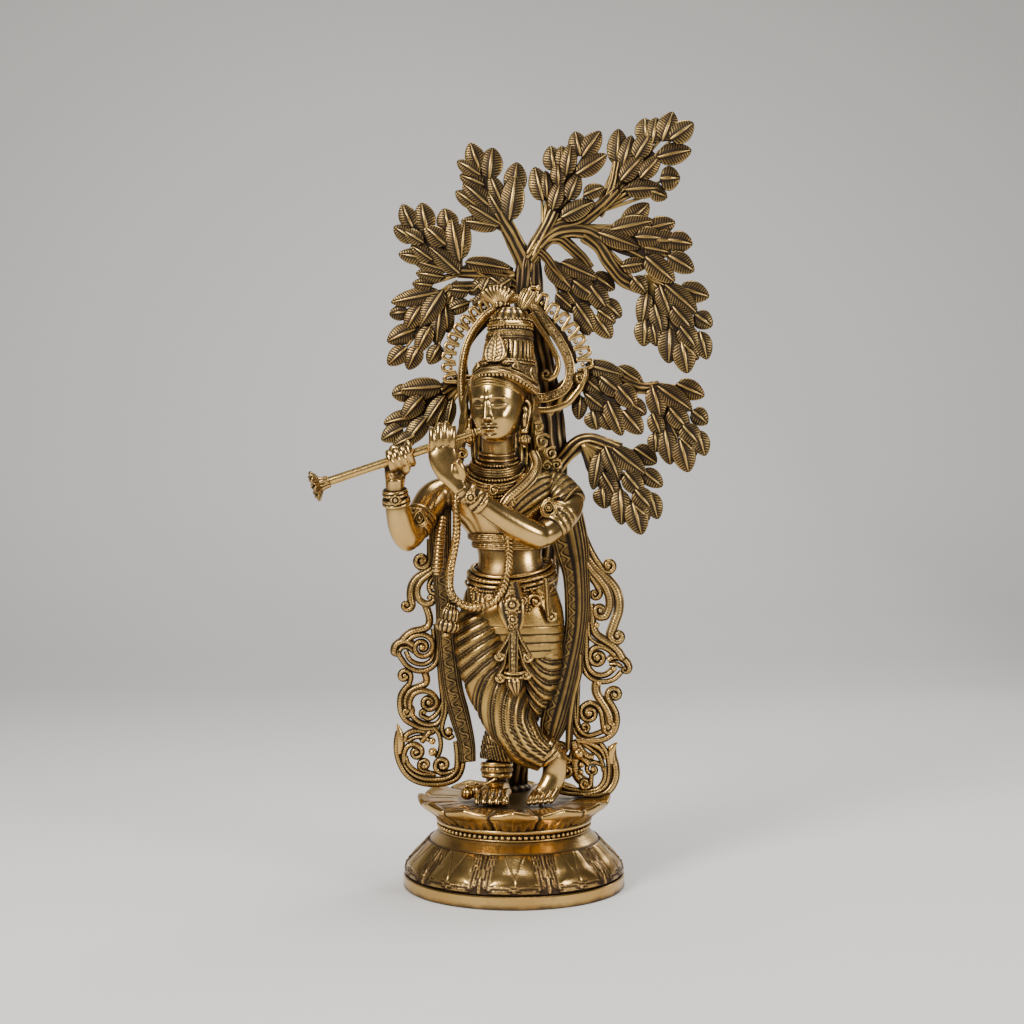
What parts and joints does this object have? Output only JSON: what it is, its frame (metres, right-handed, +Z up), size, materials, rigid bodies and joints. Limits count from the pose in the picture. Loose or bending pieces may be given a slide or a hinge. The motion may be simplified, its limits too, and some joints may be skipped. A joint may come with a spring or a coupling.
{
  "type": "crowned flute player statue",
  "caption": "Cast brass figurine of a crowned flute player standing cross-legged on a lotus pedestal before a leafy tree.",
  "frame": {"origin": "centre of the underside of the round foot plate", "axes": "+Z up, +X to the viewer's right when facing the figure, the front faces -Y"},
  "size_m": [0.316, 0.176, 0.6166],
  "materials": {
    "polished_brass": "polished high points with brown patina",
    "antique_brass": "antiqued, dark in the recesses",
    "steel": "plain"
  },
  "bodies": {
    "statue": {"foot_plate": "polished_brass", "base_bell": "antique_brass", "bead_collar": "antique_brass", "lotus_seat": "antique_brass", "base_screws": "steel", "figure_studs": "steel", "stud_nuts": "steel", "standing_leg": "antique_brass", "standing_foot": "polished_brass", "crossed_leg": "antique_brass", "crossed_foot": "polished_brass", "hips": "antique_brass", "torso": "polished_brass", "neck": "polished_brass", "head": "polished_brass", "left_upper_arm": "polished_brass", "left_forearm": "polished_brass", "left_hand": "polished_brass", "right_upper_arm": "polished_brass", "right_forearm": "polished_brass", "right_hand": "polished_brass", "crown": "polished_brass", "crown_tuft": "polished_brass", "hair_locks": "antique_brass", "earrings": "polished_brass", "necklaces": "polished_brass", "shoulder_sash": "antique_brass", "garland": "polished_brass", "garland_tassel": "antique_brass", "belt": "polished_brass", "front_sash": "antique_brass", "armlets": "polished_brass", "bracelets": "polished_brass", "anklets": "polished_brass", "left_shawl": "antique_brass", "right_shawl": "antique_brass", "left_scrolls": "antique_brass", "right_scrolls": "antique_brass", "halo_band": "polished_brass", "halo_flames": "antique_brass", "halo_bracket": "antique_brass", "trunk": "antique_brass", "crown_branches": "antique_brass", "left_branch": "antique_brass", "right_branches": "antique_brass", "leaf_cluster_1": "antique_brass", "leaf_cluster_2": "antique_brass", "leaf_cluster_3": "antique_brass", "leaf_cluster_4": "antique_brass", "leaf_cluster_5": "antique_brass", "leaf_cluster_6": "antique_brass", "leaf_cluster_7": "antique_brass", "leaf_cluster_8": "antique_brass", "leaf_cluster_9": "antique_brass", "leaf_cluster_10": "antique_brass", "leaf_cluster_11": "antique_brass", "leaf_cluster_12": "antique_brass", "leaf_cluster_13": "antique_brass"},
    "flute": {"flute": "polished_brass", "flute_flower": "polished_brass"}
  },
  "joints": [
    {"name": "flute_slide", "type": "slide", "parent": "statue", "child": "flute", "axis": [-0.9459, -0.0521, -0.3203], "range_m": [0, 0.05]}
  ]
}
